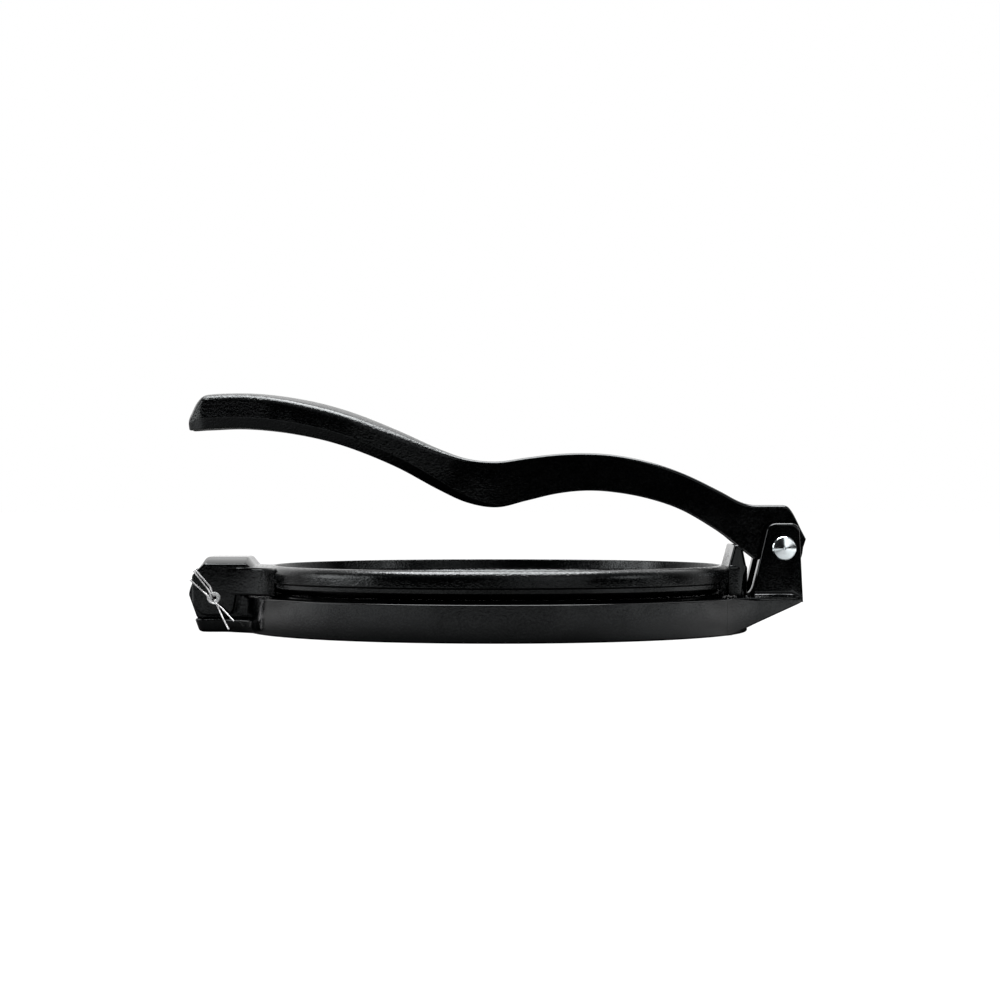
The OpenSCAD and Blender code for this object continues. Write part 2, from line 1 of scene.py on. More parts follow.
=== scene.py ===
# %% [markdown]
# # A cast-iron press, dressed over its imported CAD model
# The press is three sand castings, two pins, a washer and a tie wire. The CAD model already has every
# piece in its place, so this lesson loads it as a fixed frame and builds finer surfaces in the same
# places. A casting could be kept as its CAD mesh with a better material, but a gloss finish shows an edge
# only where the edge is rounded, so each casting is built again here with soft edges.
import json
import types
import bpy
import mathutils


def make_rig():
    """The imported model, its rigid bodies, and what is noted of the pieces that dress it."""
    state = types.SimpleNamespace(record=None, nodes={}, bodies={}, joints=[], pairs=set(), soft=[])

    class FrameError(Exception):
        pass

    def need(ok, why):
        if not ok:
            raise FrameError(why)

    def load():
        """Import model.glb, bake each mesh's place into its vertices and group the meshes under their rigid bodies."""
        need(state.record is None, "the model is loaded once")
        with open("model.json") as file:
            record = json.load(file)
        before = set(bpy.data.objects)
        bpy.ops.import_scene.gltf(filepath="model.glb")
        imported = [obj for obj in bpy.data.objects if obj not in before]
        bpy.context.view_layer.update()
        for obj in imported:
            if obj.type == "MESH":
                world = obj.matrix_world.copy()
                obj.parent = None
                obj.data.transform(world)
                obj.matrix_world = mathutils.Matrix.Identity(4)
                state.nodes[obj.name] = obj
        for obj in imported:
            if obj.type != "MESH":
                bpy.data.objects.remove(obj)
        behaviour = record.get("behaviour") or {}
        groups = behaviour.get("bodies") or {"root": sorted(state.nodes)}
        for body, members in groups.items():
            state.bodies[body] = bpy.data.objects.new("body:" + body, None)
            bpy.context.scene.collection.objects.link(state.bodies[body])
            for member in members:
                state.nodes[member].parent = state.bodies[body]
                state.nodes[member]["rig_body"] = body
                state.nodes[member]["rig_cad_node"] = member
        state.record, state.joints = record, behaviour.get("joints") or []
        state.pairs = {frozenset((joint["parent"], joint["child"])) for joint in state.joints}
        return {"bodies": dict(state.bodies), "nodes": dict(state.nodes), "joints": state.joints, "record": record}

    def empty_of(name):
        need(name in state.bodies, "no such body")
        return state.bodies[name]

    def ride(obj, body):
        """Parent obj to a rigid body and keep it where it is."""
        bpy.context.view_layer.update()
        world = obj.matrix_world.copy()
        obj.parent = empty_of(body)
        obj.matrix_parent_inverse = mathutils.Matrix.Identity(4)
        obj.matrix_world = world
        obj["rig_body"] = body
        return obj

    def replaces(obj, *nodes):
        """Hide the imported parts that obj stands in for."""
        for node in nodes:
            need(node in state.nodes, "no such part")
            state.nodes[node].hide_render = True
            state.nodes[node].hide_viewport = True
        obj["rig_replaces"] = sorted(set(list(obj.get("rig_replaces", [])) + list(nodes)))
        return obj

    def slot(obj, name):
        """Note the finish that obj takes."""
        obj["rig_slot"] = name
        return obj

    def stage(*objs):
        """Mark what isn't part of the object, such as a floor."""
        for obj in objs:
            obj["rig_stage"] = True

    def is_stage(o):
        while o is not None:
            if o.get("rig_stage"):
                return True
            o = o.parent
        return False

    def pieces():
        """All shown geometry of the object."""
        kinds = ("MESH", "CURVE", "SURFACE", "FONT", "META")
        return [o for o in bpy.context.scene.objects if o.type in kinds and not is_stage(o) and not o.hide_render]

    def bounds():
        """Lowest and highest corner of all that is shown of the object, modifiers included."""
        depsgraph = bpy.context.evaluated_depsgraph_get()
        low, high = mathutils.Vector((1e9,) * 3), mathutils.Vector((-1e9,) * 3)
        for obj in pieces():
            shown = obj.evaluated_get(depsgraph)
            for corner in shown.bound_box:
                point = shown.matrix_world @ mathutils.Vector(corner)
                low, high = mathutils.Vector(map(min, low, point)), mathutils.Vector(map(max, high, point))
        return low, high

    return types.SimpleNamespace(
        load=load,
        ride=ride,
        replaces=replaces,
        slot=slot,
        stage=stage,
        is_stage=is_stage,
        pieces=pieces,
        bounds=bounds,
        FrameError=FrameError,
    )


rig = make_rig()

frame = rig.load()

import json
import math

import bmesh
import bpy
import numpy as np

cad_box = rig.bounds()
MM = 0.001
print("bodies", sorted(frame["bodies"]), "nodes", sorted(frame["nodes"]))

# %% [markdown]
# ## The camera
# The photograph was taken level, from about a metre away and a little above the dish, so the near rim and
# the far rim both show. A long lens at that distance gives the same perspective. The place was found by
# fitting both discs' edges, and it needs no shift.

# %% Camera
scene = bpy.context.scene
camera = bpy.data.objects.new("camera", bpy.data.cameras.new("camera"))
camera.location = (0.0012, -1.0, 0.0528)
camera.rotation_euler = (math.radians(90), 0, 0)
camera.data.lens = 88.2
camera.data.sensor_width = 36
camera.data.clip_start = 0.01
scene.collection.objects.link(camera)
scene.camera = camera
scene.view_settings.view_transform = "Standard"
print("camera at", tuple(round(v, 4) for v in camera.location), "with a lens of", camera.data.lens, "mm")

# %% [markdown]
# ## Node helpers
# Shader maths reads best as Python expressions. A small class wraps a node's output socket and overloads
# the operators, so `1 - mask * 0.5` adds its own Math nodes. Every other node comes from one method that
# takes the node's type, its settings and the values or links of its sockets.


# %% Sockets and nodes
class Value:
    """An output socket of a node tree. Arithmetic on it adds Math nodes to the tree."""

    def __init__(self, tree, socket):
        self.tree, self.socket = tree, socket

    def out(self, name):
        """Another output socket of the same node."""
        return Value(self.tree, self.socket.node.outputs[name])

    def math(self, operation, *others):
        """A Math node whose first value is this one."""
        return self.tree.add("ShaderNodeMath", {"operation": operation}, dict(enumerate([self, *others])))

    def __add__(self, other):
        return self.math("ADD", other)

    def __mul__(self, other):
        return self.math("MULTIPLY", other)

    def __sub__(self, other):
        return self.math("SUBTRACT", other)

    def __rsub__(self, other):
        return self * -1 + other

    __radd__, __rmul__ = __add__, __mul__

    def between(self, low, high):
        """0 at low, 1 at high, and a smooth step from one to the other."""
        settings = {"interpolation_type": "SMOOTHSTEP"}
        inputs = {"Value": self, "From Min": low, "From Max": high}
        return self.tree.add("ShaderNodeMapRange", settings, inputs)


class Tree:
    """A node tree that is built by calls, so that a finish reads like a recipe."""

    def __init__(self, owner):
        owner.use_nodes = True
        self.nodes, self.links = owner.node_tree.nodes, owner.node_tree.links
        self.nodes.clear()

    def add(self, kind, settings=None, inputs=None):
        """One node: its settings first, then the values or links of its sockets. Gives its first output."""
        node = self.nodes.new(kind)
        for name, value in (settings or {}).items():
            if name == "stops":
                stops = node.color_ramp.elements
                while len(stops) < len(value):
                    stops.new(0.5)
                for stop, (place, colour) in zip(stops, value):
                    stop.position, stop.color = place, (*colour, 1)
            else:
                setattr(node, name, value)
        for name, value in (inputs or {}).items():
            if isinstance(value, Value):
                self.links.new(value.socket, node.inputs[name])
            else:
                node.inputs[name].default_value = value
        return Value(self, node.outputs[0]) if node.outputs else None


print("node helpers ready")

# %% [markdown]
# ## The studio
# Gloss black shows little but what it reflects. In the photograph the surroundings behind the press are
# white, and the room in front is dark, apart from one soft panel up on the right and one on either side.
# A large soft light hangs overhead: it draws the bright line along every rounded top edge. The sky does
# the white and the dark with one number that depends on the direction of a ray. What the camera sees
# directly stays white. The floor is a wide pale sheet that meets that white without a line. In
# reflections it ends some way in front of the press, like a table, and its colour carries painted shade
# close to the press, behind it and in a strip through the middle, and a painted pool of light beside
# the lever's pin.

# %% Sky
WHITE = (1, 1, 1, 1)
scene.world = bpy.data.worlds.new("studio")
sky = Tree(scene.world)
ray = sky.add("ShaderNodeSeparateXYZ", None, {"Vector": sky.add("ShaderNodeTexCoord")})
brightness = ray.out("Y").between(0.05, 0.95) + ray.out("Z").between(0.5, 0.95) * 0.3 + 0.006
room = sky.add("ShaderNodeBackground", None, {"Color": WHITE, "Strength": brightness})
plain = sky.add("ShaderNodeBackground", None, {"Color": WHITE, "Strength": 1.0})
shown = sky.add("ShaderNodeMixShader", None, {0: sky.add("ShaderNodeLightPath"), 1: room, 2: plain})
sky.add("ShaderNodeOutputWorld", None, {"Surface": shown})
print("sky nodes", len(sky.nodes))


# %% Lamps
def lamp(name, kind, place, aim, **settings):
    """A light at a place, turned towards a point. It tips by the angle between straight down and the way
    to go, after a turn about the vertical."""
    light = bpy.data.objects.new(name, bpy.data.lights.new(name, kind))
    light.location = place
    way = np.subtract(aim, place)
    light.rotation_euler = (math.atan2(math.hypot(way[0], way[1]), -way[2]), 0, math.atan2(-way[0], way[1]))
    for key, value in settings.items():
        setattr(light.data, key, value)
    light.visible_camera = False
    scene.collection.objects.link(light)


lamp("overhead_sun", "SUN", (0, 0.6, 1.0), (0, 0, 0), energy=0.8, angle=math.radians(70))
softbox = dict(shape="RECTANGLE", size=1.0, size_y=0.72, energy=40)
lamp("softbox", "AREA", (-0.04, 0.17, 1.15), (-0.02, 0, 0.03), **softbox)
side_panel = dict(shape="RECTANGLE", size=0.6, size_y=0.5, energy=4.3)
lamp("side_panel", "AREA", (-1.1, -0.13, 0.38), (-0.1, 0, 0.05), **side_panel)
panel = dict(shape="RECTANGLE", size=0.8, size_y=0.85, energy=2.6)
lamp("front_panel", "AREA", (0.68, -1.25, 0.66), (0.1, 0, 0.03), **panel)
right_panel = dict(shape="RECTANGLE", size=0.4, size_y=0.35, energy=1.1)
lamp("right_panel", "AREA", (0.98, -0.33, 0.45), (0, 0.05, 0.03), **right_panel)
print("lights", len(bpy.data.lights))

# %% Floor
FLOOR_R, FLOOR_SIDES = 9, 96
floor_mesh = bpy.data.meshes.new("floor")
turn = np.arange(FLOOR_SIDES) * 2 * np.pi / FLOOR_SIDES
floor_edge = np.stack([FLOOR_R * np.cos(turn), FLOOR_R * np.sin(turn), 0 * turn], 1)
floor_mesh.from_pydata(floor_edge.tolist(), [], [list(range(FLOOR_SIDES))])
floor = bpy.data.objects.new("floor", floor_mesh)
scene.collection.objects.link(floor)
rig.stage(floor)
floor_mesh.materials.append(bpy.data.materials.new("pale_floor"))
sheet = Tree(floor_mesh.materials[0])
spot_on_floor = sheet.add("ShaderNodeTexCoord").out("Object")
depth = sheet.add("ShaderNodeSeparateXYZ", None, {"Vector": spot_on_floor}).out("Y")
away = sheet.add("ShaderNodeVectorMath", {"operation": "LENGTH"}, {0: spot_on_floor}).out("Value")
sideways = depth.out("X") * depth.out("X")
up_to_its_edge = depth.between(-0.7, -0.6)
# Painted shade: in reflections the floor is darker within about 0.3 m of the press, standing in for the press's own
# shadow.
painted_shade_near_press = away.between(0.11, 0.3) * 0.82 + 0.18
# Painted shade: in reflections the floor is darker in a strip that runs front to back through the middle.
painted_shade_in_middle = sideways.between(0.01, 0.1) * 0.25 + 0.5
# The floor's colour in reflections: the table's edge times the painted shade near the press and in the middle.
painted_light_and_shade = up_to_its_edge * painted_shade_near_press * painted_shade_in_middle
# Painted shade: in reflections the floor behind the press is darker, down to less than a third.
painted_light_and_shade = painted_light_and_shade * (1 - depth.between(-0.02, 0.12) * 0.72) * 0.68 + 0.004
# Painted light: a pool of brighter floor within about 0.1 m of x 130 mm, y -80 mm, beside the lever's pin, which
# reflects it.
painted_light_spot = {0: spot_on_floor, 1: (0.13, -0.08, 0)}
by_pin = sheet.add("ShaderNodeVectorMath", {"operation": "DISTANCE"}, painted_light_spot).out("Value")
painted_light_and_shade = painted_light_and_shade + (1 - by_pin.between(0.02, 0.1)) * 0.16
grey = sheet.add("ShaderNodeCombineColor", None, {"Red": painted_light_and_shade, "Green": painted_light_and_shade, "Blue": painted_light_and_shade})
mirrored = sheet.add("ShaderNodeBsdfDiffuse", None, {"Color": grey})
paint = {"Base Color": (0.04, 0.04, 0.04, 1), "Specular IOR Level": 0.0}
glow = {"Emission Color": WHITE, "Emission Strength": 1.0}
seen = sheet.add("ShaderNodeBsdfPrincipled", None, paint | glow)
both = sheet.add("ShaderNodeMixShader", None, {0: sheet.add("ShaderNodeLightPath"), 1: mirrored, 2: seen})
sheet.add("ShaderNodeOutputMaterial", None, {"Surface": both})
print("floor", floor.dimensions[:])

# %% [markdown]
# ## Finishes
# The castings have a thick black gloss coat over sand-cast iron. The coat is smooth, but it follows the
# grain of the sand, so highlights break up into specks, and wide faces roll a little. Three bumps do
# this, one over the other: fine grain, coarser lumps, and slow waves. The coat runs thick on upright
# faces and fills the grain there; the finish makes the grain strong only in patches on the dish's rim
# and on the grip, and faint everywhere else. Between the grains the coat is duller, and it tints its
# reflections very slightly blue.


# %% Black iron
def finish(name):
    """A new material, its tree, and the place of a point on the object."""
    material = bpy.data.materials.new(name)
    tree = Tree(material)
    return material, tree, tree.add("ShaderNodeTexCoord").out("Object")


def noise(tree, where, scale, detail, rough=0.5):
    """A noise whose lumps are about 1 / scale metres wide, with finer ones on them as detail grows."""
    inputs = {"Vector": where, "Scale": scale, "Detail": detail, "Roughness": rough}
    return tree.add("ShaderNodeTexNoise", None, inputs)


def bump(tree, height, distance, strength, under=None):
    """Tilts the normal by the slope of height times distance, on top of another bump where one is given."""
    inputs = {"Height": height, "Distance": distance, "Strength": strength}
    if under is not None:
        inputs["Normal"] = under
    return tree.add("ShaderNodeBump", None, inputs)


def close(tree, **inputs):
    """Feeds a Principled shader, whose sockets are named with _ for a space, to the material's output."""
    inputs = {name.replace("_", " "): value for name, value in inputs.items()}
    shader = tree.add("ShaderNodeBsdfPrincipled", None, inputs)
    tree.add("ShaderNodeOutputMaterial", None, {"Surface": shader})


def cast_iron(name, share):
    """Black coated iron. Grain, lumps and waves are noises of about 0.9, 3 and 20 mm. share(tree, where)
    says how much of the grain shows at a place: a seventh of its depth at 0, and all of it at 1."""
    material, tree, where = finish(name)
    open_grain = share(tree, where)
    patches = noise(tree, where, 40, 2).between(0.4, 0.62)
    grain = noise(tree, where, 1150, 2, 0.6)
    pits = noise(tree, where, 1400, 1).between(0.42, 0.58)
    lumps = noise(tree, where, 300, 2)
    waves = noise(tree, where, 45, 1)
    rolled = bump(tree, waves, 0.0002, 0.5)
    lumped = bump(tree, lumps, 0.00001, 0.7, rolled)
    grained = bump(tree, grain * (patches * 0.6 + 0.4) * (open_grain * 0.86 + 0.14), 0.00024, 1.0, lumped)
    specks = noise(tree, where, 900, 1).between(0.7, 0.78)
    colours = [(0.0, (0.0003, 0.0004, 0.0005)), (1.0, (0.006, 0.006, 0.0065))]
    colour = tree.add("ShaderNodeValToRGB", {"stops": colours}, {"Fac": specks * 0.6 + grain * 0.1})
    close(
        tree,
        Base_Color=colour,
        Roughness=pits * (open_grain * 0.1 + 0.08) + patches * 0.04 + 0.05,
        Specular_IOR_Level=0.28,
        Specular_Tint=(0.93, 0.985, 1.0, 1),
        Normal=grained,
    )
    return material


def nowhere(tree, where):
    """0 all over: the coat of the base fills its grain."""
    return 0.0


def on_the_rim(tree, where):
    """1 from about 90 to 99 mm from the origin, where the dish's rim is, and 0 elsewhere."""
    away = tree.add("ShaderNodeVectorMath", {"operation": "LENGTH"}, {0: where}).out("Value")
    return away.between(0.0885, 0.0915) * (1 - away.between(0.0985, 0.1005))


def on_the_grip(tree, where):
    """From 0 just right of the lever's dip, at x = 20 mm, to 1 on the grip, at x = -60 mm."""
    return tree.add("ShaderNodeSeparateXYZ", None, {"Vector": where}).out("X").between(0.02, -0.06)


base_iron = cast_iron("base_iron", nowhere)
plate_iron = cast_iron("plate_iron", on_the_rim)
lever_iron = cast_iron("lever_iron", on_the_grip)
print("iron nodes", len(base_iron.node_tree.nodes))

# %% [markdown]
# The two pins are steel with a bright zinc plating: pale, slightly blue, with small scratches that go
# round the pin where it was turned. The tie is bare bright wire. The lever's pin is all metal, so its
# colour is the colour of the reflection. The tube and the wire are duller and scatter most of their
# light.


# %% Zinc and wire
def bright_metal(name, tint, roughness, centre, metallic=1.0):
    """Plated steel with fine rings round an axis along Y through the centre, in metres. A dull finish is
    less metallic, so that part of its light is scattered."""
    material, tree, where = finish(name)
    about = tree.add("ShaderNodeMapping", None, {"Vector": where, "Location": [-c for c in centre]})
    part = tree.add("ShaderNodeSeparateXYZ", None, {"Vector": about})
    flat = tree.add("ShaderNodeCombineXYZ", None, {"X": part.out("X"), "Y": part.out("Z")})
    radius = tree.add("ShaderNodeVectorMath", {"operation": "LENGTH"}, {0: flat}).out("Value")
    rings = (radius * 26000).math("SINE") * 0.5 + 0.5
    scuffs = noise(tree, where, 1400, 3, 0.65)
    blooms = noise(tree, where, 420, 2).between(0.4, 0.7)
    colours = [(0.0, tint), (1.0, tuple(0.72 * c for c in tint))]
    close(
        tree,
        Base_Color=tree.add("ShaderNodeValToRGB", {"stops": colours}, {"Fac": blooms * 0.5 + scuffs * 0.2}),
        Metallic=metallic,
        Roughness=(scuffs * 0.8 + blooms * 0.4 + 0.5) * roughness,
        Normal=bump(tree, rings * 0.4 + scuffs, 0.000006, 0.5),
    )
    return material


PIVOT, HINGE = (0.1152, 0, 0.0334), (-0.1131, 0, 0.0136)
zinc = bright_metal("zinc_plating", (0.88, 0.95, 0.98), 0.15, PIVOT)
tube_zinc = bright_metal("tube_zinc", (0.95, 0.97, 0.98), 0.15, HINGE, 0.2)
wire = bright_metal("bright_wire", (0.97, 0.97, 0.98), 0.35, HINGE, 0.25)
print("materials", len(bpy.data.materials))

# %% [markdown]
# ## Surfaces from arrays
# Every shape here is a stack of rings: a grid of points with one row for each station and one column for
# each place round the ring. A turned disc, a slab with soft edges and the lever are all that same grid,
# with other formulas for its points. Quads join the rows, and flat faces close the two ends.


# %% Outlines
def unit(v):
    """Vectors divided by their own lengths."""
    return v / np.maximum(np.linalg.norm(v, axis=-1, keepdims=True), 1e-12)


def rounded(corners, steps=6):
    """Corners (x, y, radius) along the last two axes become arcs. The arc's centre lies on the bisector
    of the corner, radius / sin(half) away, and the arc turns by 180 degrees less the corner's angle."""
    corners = np.asarray(corners, float)
    at, radius = corners[..., :2], corners[..., 2:]
    u, v = unit(np.roll(at, 1, -2) - at), unit(np.roll(at, -1, -2) - at)
    half = np.arccos(np.clip((u * v).sum(-1, keepdims=True), -1, 1)) / 2
    centre = at + unit(u + v) * radius / np.sin(half)
    first, last = at + u * radius / np.tan(half) - centre, at + v * radius / np.tan(half) - centre
    side = np.sign(first[..., :1] * last[..., 1:] - first[..., 1:] * last[..., :1])
    a = np.linspace(0, 1, steps + 1) * (np.pi - 2 * half) * side
    x = centre[..., :1] + first[..., :1] * np.cos(a) - first[..., 1:] * np.sin(a)
    y = centre[..., 1:] + first[..., :1] * np.sin(a) + first[..., 1:] * np.cos(a)
    return np.stack([x, y], -1).reshape(*corners.shape[:-2], -1, 2)


def distinct(outline):
    """The outline without points that repeat the one before, and running counter-clockwise."""
    outline = outline[np.linalg.norm(outline - np.roll(outline, 1, 0), axis=1) > 1e-5]
    x, y = outline.T
    area = (x * np.roll(y, -1) - y * np.roll(x, -1)).sum()
    return outline if area > 0 else outline[::-1]


def inset(outline, amount):
    """The outline moved inwards: each point goes along the sum of its two edges' normals, divided by one
    plus their product, so that both edges move by the same amount."""
    into, out_of = unit(outline - np.roll(outline, 1, 0)), unit(np.roll(outline, -1, 0) - outline)
    n1, n2 = np.stack([-into[:, 1], into[:, 0]], 1), np.stack([-out_of[:, 1], out_of[:, 0]], 1)
    return outline + amount * (n1 + n2) / (1 + (n1 * n2).sum(1, keepdims=True))


def bend_in(start, corner, after, steps):
    """A blend between two lines: a parabola from start to after, which leaves and arrives along the lines
    to the corner between them."""
    t = np.linspace(0, 1, steps)[:, None]
    start, corner, after = np.array(start), np.array(corner), np.array(after)
    return start * (1 - t) ** 2 + 2 * corner * t * (1 - t) + after * t**2


def ease(a, b, value):
    """A smooth step from 0 at a to 1 at b."""
    t = np.clip((value - a) / (b - a), 0, 1)
    return t * t * (3 - 2 * t)


def mix(a, b, t):
    """The value at a share t of the way from a to b."""
    return a + (b - a) * t


print("a rounded square has", len(distinct(rounded([(0, 0, 1), (9, 0, 1), (9, 9, 1), (0, 9, 1)]))), "points")


# %% Solids from rings
def solid(rings, capped=True):
    """A closed form from rings (stations, points, 3) in millimetres, as an object at the origin."""
    stations, points = rings.shape[:2]
    here = np.arange(stations * points).reshape(stations, points)
    ahead = np.roll(here, -1, 1)
    faces = np.stack([here[:-1], ahead[:-1], ahead[1:], here[1:]], -1).reshape(-1, 4).tolist()
    if capped:
        faces += [here[0, ::-1].tolist(), here[-1].tolist()]
    mesh = bpy.data.meshes.new("form")
    mesh.from_pydata((rings.reshape(-1, 3) * MM).tolist(), [], faces)
    shape = bmesh.new()
    shape.from_mesh(mesh)
    bmesh.ops.remove_doubles(shape, verts=shape.verts, dist=1e-6)
    bmesh.ops.recalc_face_normals(shape, faces=shape.faces)
    shape.to_mesh(mesh)
    shape.free()
    form = bpy.data.objects.new("form", mesh)
    scene.collection.objects.link(form)
    return form


def turned(corners, axis=None, segments=288, steps=5):
    """A profile of corners (radius, height, rounding) turned about an axis: at angle a, a point of the
    profile is at radius times (cos a, sin a), at its height. The axis is Z, or lies along Y through axis
    = (x, z)."""
    profile = rounded(corners, steps)
    profile = profile[np.r_[True, np.linalg.norm(np.diff(profile, axis=0), axis=1) > 1e-5]]
    a = np.arange(segments) * 2 * np.pi / segments
    r, h = profile[:, :1], profile[:, 1:]
    if axis is None:
        return solid(np.stack(np.broadcast_arrays(r * np.cos(a), r * np.sin(a), h), -1), capped=False)
    points = np.broadcast_arrays(r * np.cos(a) + axis[0], h, r * np.sin(a) + axis[1])
    return solid(np.stack(points, -1), capped=False)


def slab(corners, low, high, edge, upright=True, steps=4, middle=2, lower=None):
    """An outline of corners (x, z, rounding), carried along Y from low to high. At both ends it draws in
    by a quarter circle: at angle a, by edge (1 - sin a), at edge (1 - cos a) from the end. With upright
    False the outline is (x, y, rounding) and goes along Z. lower(points) may move the points
    afterwards."""
    outline = distinct(rounded(corners))
    a = np.linspace(0, np.pi / 2, steps + 1)
    draw, run = edge * (1 - np.sin(a)), edge * (1 - np.cos(a))
    place = np.r_[low + run, np.linspace(low + edge, high - edge, middle)[1:-1], high - run[::-1]]
    drawn = np.r_[draw, np.zeros(middle - 2), draw[::-1]]
    flat = np.stack([inset(outline, amount) for amount in drawn])
    along = np.broadcast_to(place[:, None], flat.shape[:2])
    order = (flat[..., 0], along, flat[..., 1]) if upright else (flat[..., 0], flat[..., 1], along)
    rings = np.stack(order, -1)
    return solid(rings if lower is None else lower(rings))


print("solid, turned and slab ready")

# %% [markdown]
# A casting is one piece of metal, so its forms are joined into one skin with a Boolean, and bores are cut
# out of it the same way. Afterwards the mesh is shaded smooth, except across sharp corners, and Weighted
# Normal lets the wide faces stay flat beside their small rounded edges.


# %% One piece from several forms
def combined(forms, cuts):
    """Unites forms, then cuts others out of them. The result is a mesh, and the forms are used up."""
    piece = forms[0]
    for form in forms[1:] + cuts:
        step = piece.modifiers.new("step", "BOOLEAN")
        step.operation = "DIFFERENCE" if form in cuts else "UNION"
        step.solver, step.object = "MANIFOLD", form
    mesh = bpy.data.meshes.new_from_object(piece.evaluated_get(bpy.context.evaluated_depsgraph_get()))
    for form in forms + cuts:
        bpy.data.objects.remove(form)
    return mesh


def less(form, cut):
    """A form with another cut out of it, as a new form."""
    form = bpy.data.objects.new("form", combined([form], [cut]))
    scene.collection.objects.link(form)
    return form


def join(name, forms, cuts, material, body, slot, replaced):
    """Unites forms, cuts bores, and hands over one finished piece that rides on a body."""
    hand_over(name, combined(forms, cuts), material, body, slot, replaced)


def hand_over(name, mesh, material, body, slot, replaced):
    """Makes the piece, gives it its finish, and says what it rides on and which node it stands for."""
    mesh.materials.clear()
    mesh.materials.append(material)
    mesh.shade_smooth()
    mesh.set_sharp_from_angle(angle=math.radians(38))
    piece = bpy.data.objects.new(name, mesh)
    scene.collection.objects.link(piece)
    weighted = piece.modifiers.new("weighted", "WEIGHTED_NORMAL")
    weighted.keep_sharp = True
    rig.ride(piece, body)
    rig.slot(piece, slot)
    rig.replaces(piece, replaced)
    corners = np.array([v.co for v in mesh.vertices]) / MM
    print(name, len(mesh.polygons), "faces, from", corners.min(0).round(1), "to", corners.max(0).round(1))


print("join and hand_over ready")

# %% [markdown]
# ## The base
# One casting: a round disc with a hollow underside and a low raised pressing face, a foot and a knuckle
# for the hinge on the left, and a nose with two ears on the right. The disc is turned from a profile. The
# nose is a wedge, so it is a row of rounded boxes whose width and height change along X. The foot is low,
# so it is one plan repeated at a few heights, drawn in at its edges and leant at its end. The ears are
# slabs. The hollow is cut out of all of them at the end, so that neither the nose nor the foot reaches
# into it.

# %% Measures of the base
BASE_R, BASE_H, FACE_R = 101.47, 14.2, 91.5
HINGE_X, HINGE_Z, PIVOT_X, PIVOT_Z = -113.1, 13.6, 115.2, 33.4
CHEEK_IN, CHEEK_OUT, EAR_IN, EAR_OUT, EAR_TOP = 10.0, 20.5, 9.5, 17.5, 43.5
FOOT_TOP, KNUCKLE_R, KNUCKLE_HALF, KNUCKLE_ROOM = 5.3, 11.6, 9.5, 12.1
KNUCKLE_BORE, CHEEK_BORE, EAR_BORE, LEVER_BORE = 2.56, 2.52, 3.02, 3.06
TOE_X = PIVOT_X + 7.7


def loaf(x, half, low, high, edge, low_edge):
    """Rounded boxes along X: at each x a section of half width half, from low to high, with corners of
    radius edge above and low_edge below, all arrays."""
    values = [np.asarray(v, float) for v in (x, half, low, high, edge, low_edge)]
    x, half, low, high, edge, low_edge = np.broadcast_arrays(*values)
    corners = [(-half, low, low_edge), (half, low, low_edge), (half, high, edge), (-half, high, edge)]
    section = rounded(np.stack([np.stack(c, -1) for c in corners], -2))
    along = np.broadcast_to(x[:, None, None], (*section.shape[:2], 1))
    return solid(np.concatenate([along, section], -1))


disc = turned([
    (0, 0, 0), (BASE_R, 0, 0.6), (BASE_R, BASE_H, 0.4), (92.3, BASE_H, 0.5), (FACE_R, 15.4, 0.7),
    (0, 15.4, 0),
])
hollow_underside = turned([(0, -1, 0), (96.5, -1, 0), (96.5, 10.5, 3), (0, 10.5, 0)])
print("disc", len(disc.data.polygons), "faces, its hollow", len(hollow_underside.data.polygons))

# %% Nose and foot
end = np.linspace(0, np.pi / 2, 9)
nose_side = bend_in((89.62, 47.65), (95.32, 36.93), (105.1, 30.03), 24)
nose_x = np.r_[86, nose_side[:, 0], np.linspace(107, TOE_X - 2.5, 9), TOE_X - 2.5 * (1 - np.sin(end[1:]))]
tip = 1 - np.sqrt(1 - np.clip((nose_x - TOE_X + 2.5) / 2.5, 0, 1) ** 2)
nose_low = np.interp(nose_x, [92, TOE_X], [0, 12])
nose = loaf(
    nose_x,
    np.interp(nose_x, np.r_[nose_side[:, 0], TOE_X], np.r_[nose_side[:, 1], EAR_OUT]) - 2.3 * tip,
    nose_low + 0.4 * tip,
    BASE_H,
    np.minimum(mix(0.4, 1.3, ease(92, 104, nose_x)), 0.42 * (BASE_H - nose_low)),
    0.6,
)

END_LEAN = math.radians(19.7)


def end_x(z):
    """The slanted end that the knuckle and the foot share: its place at height z."""
    return HINGE_X - 10.6 / math.cos(END_LEAN) + math.tan(END_LEAN) * (HINGE_Z - z)


foot_plan = distinct(rounded([
    (end_x(FOOT_TOP), -20.7, 5), (-109.1, -20.7, 6), (-98, -29.7, 12), (-93, -38, 0), (-86, -38, 0),
    (-86, 38, 0), (-93, 38, 0), (-98, 29.7, 12), (-109.1, 20.7, 6), (end_x(FOOT_TOP), 20.7, 5),
]))
levels = np.array([0, 0.25, 0.6, 1.1, 4.6, 4.95, 5.15, FOOT_TOP])
drawn = np.array([1.1, 0.5, 0.15, 0, 0, 0.15, 0.35, 0.7])
plans = [np.c_[inset(foot_plan, d), np.full(len(foot_plan), z)] for z, d in zip(levels, drawn)]
foot_rings = np.stack(plans)
lean_in = np.clip((-100 - foot_rings[..., 0]) / 18, 0, 1)
foot_rings[..., 0] += lean_in * math.tan(END_LEAN) * (FOOT_TOP - foot_rings[..., 2])
foot_rings[..., 1] *= 1 - 0.0025 * (FOOT_TOP - foot_rings[..., 2])
foot = solid(foot_rings)
print("nose", len(nose.data.polygons), "faces, foot", len(foot.data.polygons))

